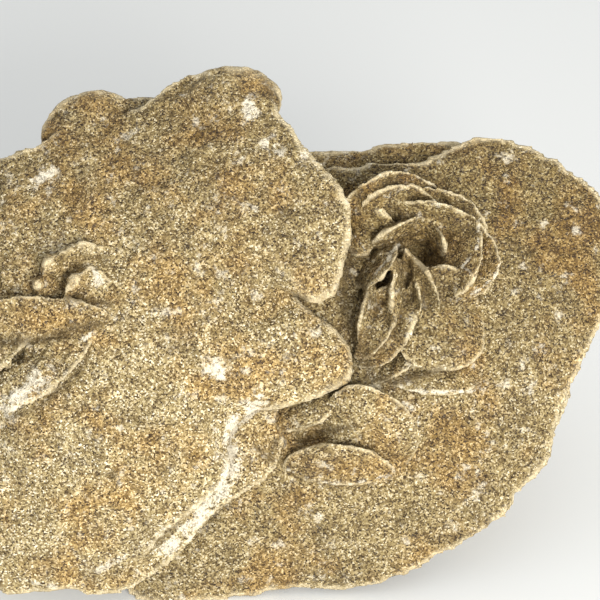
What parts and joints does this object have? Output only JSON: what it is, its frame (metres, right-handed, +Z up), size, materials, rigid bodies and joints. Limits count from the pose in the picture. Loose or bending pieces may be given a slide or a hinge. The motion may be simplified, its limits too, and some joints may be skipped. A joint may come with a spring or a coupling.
{
  "type": "gypsum sand rose",
  "caption": "Sand-coated gypsum crystal cluster: large lens-shaped discs grown through one another, with small petal rosettes on the front",
  "frame": {"origin": "middle of the bounding box at ground level, z = 0", "axes": "+X right along the front face, +Y to the back, +Z up"},
  "size_m": [0.1348, 0.0866, 0.0888],
  "materials": {
    "sand_coated_gypsum": "matt, granular sand coating"
  },
  "bodies": {
    "root": {"sand_rose": "sand_coated_gypsum"}
  },
  "joints": []
}
